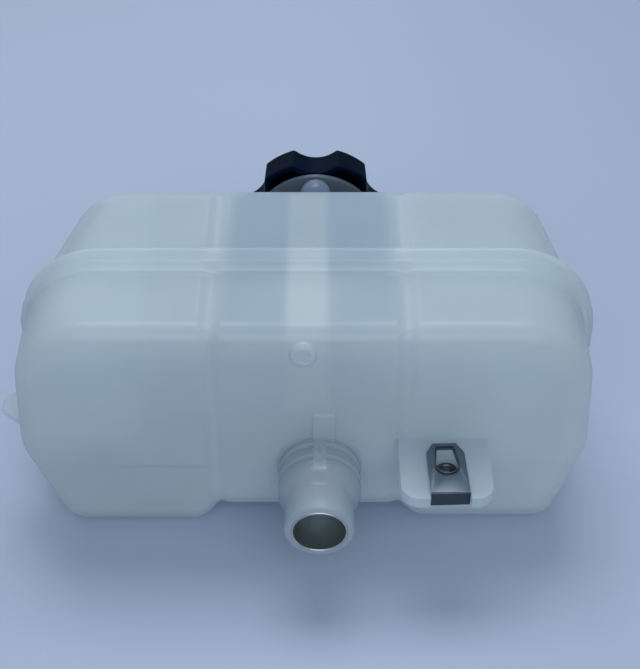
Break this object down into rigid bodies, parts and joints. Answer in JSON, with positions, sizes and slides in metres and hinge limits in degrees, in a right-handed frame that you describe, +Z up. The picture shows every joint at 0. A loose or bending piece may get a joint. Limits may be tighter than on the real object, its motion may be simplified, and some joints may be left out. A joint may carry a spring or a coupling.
{
  "type": "coolant expansion tank",
  "caption": "Welded translucent coolant expansion tank lying on its side, with hose outlet, mounting plate with clip nut, filler neck and lobed screw cap with valves.",
  "frame": {"origin": "on the bench under the middle of the tank, in the plane of the weld between the half shells", "axes": "+X along the tank's width, +Y from the outlet half to the filler half, +Z up from the flats that the tank lies on"},
  "size_m": [0.3105, 0.224, 0.1415],
  "materials": {
    "tank": "natural translucent polypropylene, satin",
    "sleeve": "drawn stainless sheet",
    "clip": "dull zinc-flake coat",
    "cap": "black glass-filled nylon, fine grain",
    "housing": "black nylon, smooth",
    "rubber": "black EPDM",
    "valve": "pressed brass sheet",
    "spring": "drawn spring wire"
  },
  "bodies": {
    "tank": {"outlet_half_shell": "tank", "filler_half_shell": "tank", "outlet_sleeve": "sleeve", "clip_nut": "clip"},
    "valve_insert": {"valve_housing": "housing", "neck_seal_ring": "rubber", "spring_seat": "valve", "pressure_spring": "spring"},
    "cap": {"cap_grip": "cap"},
    "pressure_valve": {"pressure_plate": "valve", "pressure_seal": "rubber", "vacuum_spring": "spring"},
    "vacuum_valve": {"vacuum_plate": "valve", "vacuum_retainer": "valve"}
  },
  "joints": [
    {"name": "cap_lift", "type": "slide", "parent": "tank", "child": "valve_insert", "axis": [0, 1, 0], "range_m": [0, 0.012]},
    {"name": "cap_turn", "type": "hinge", "parent": "valve_insert", "child": "cap", "pos_m": [0.0032, 0.112, 0.0878], "axis": [0, 1, 0], "range_deg": [0, 720]},
    {"name": "pressure_valve_lift", "type": "slide", "parent": "valve_insert", "child": "pressure_valve", "axis": [0, 1, 0], "range_m": [0, 0.003], "stiffness_N_per_m": 8000, "springref_m": -0.0035, "deforming": ["pressure_spring"]},
    {"name": "vacuum_valve_drop", "type": "slide", "parent": "pressure_valve", "child": "vacuum_valve", "axis": [0, -1, 0], "range_m": [0, 0.002], "stiffness_N_per_m": 200, "springref_m": -0.002, "deforming": ["vacuum_spring"]}
  ],
  "couplings": [
    {"joint": "cap_lift", "follows": "cap_turn", "m_per_rad": 0.0009549}
  ]
}
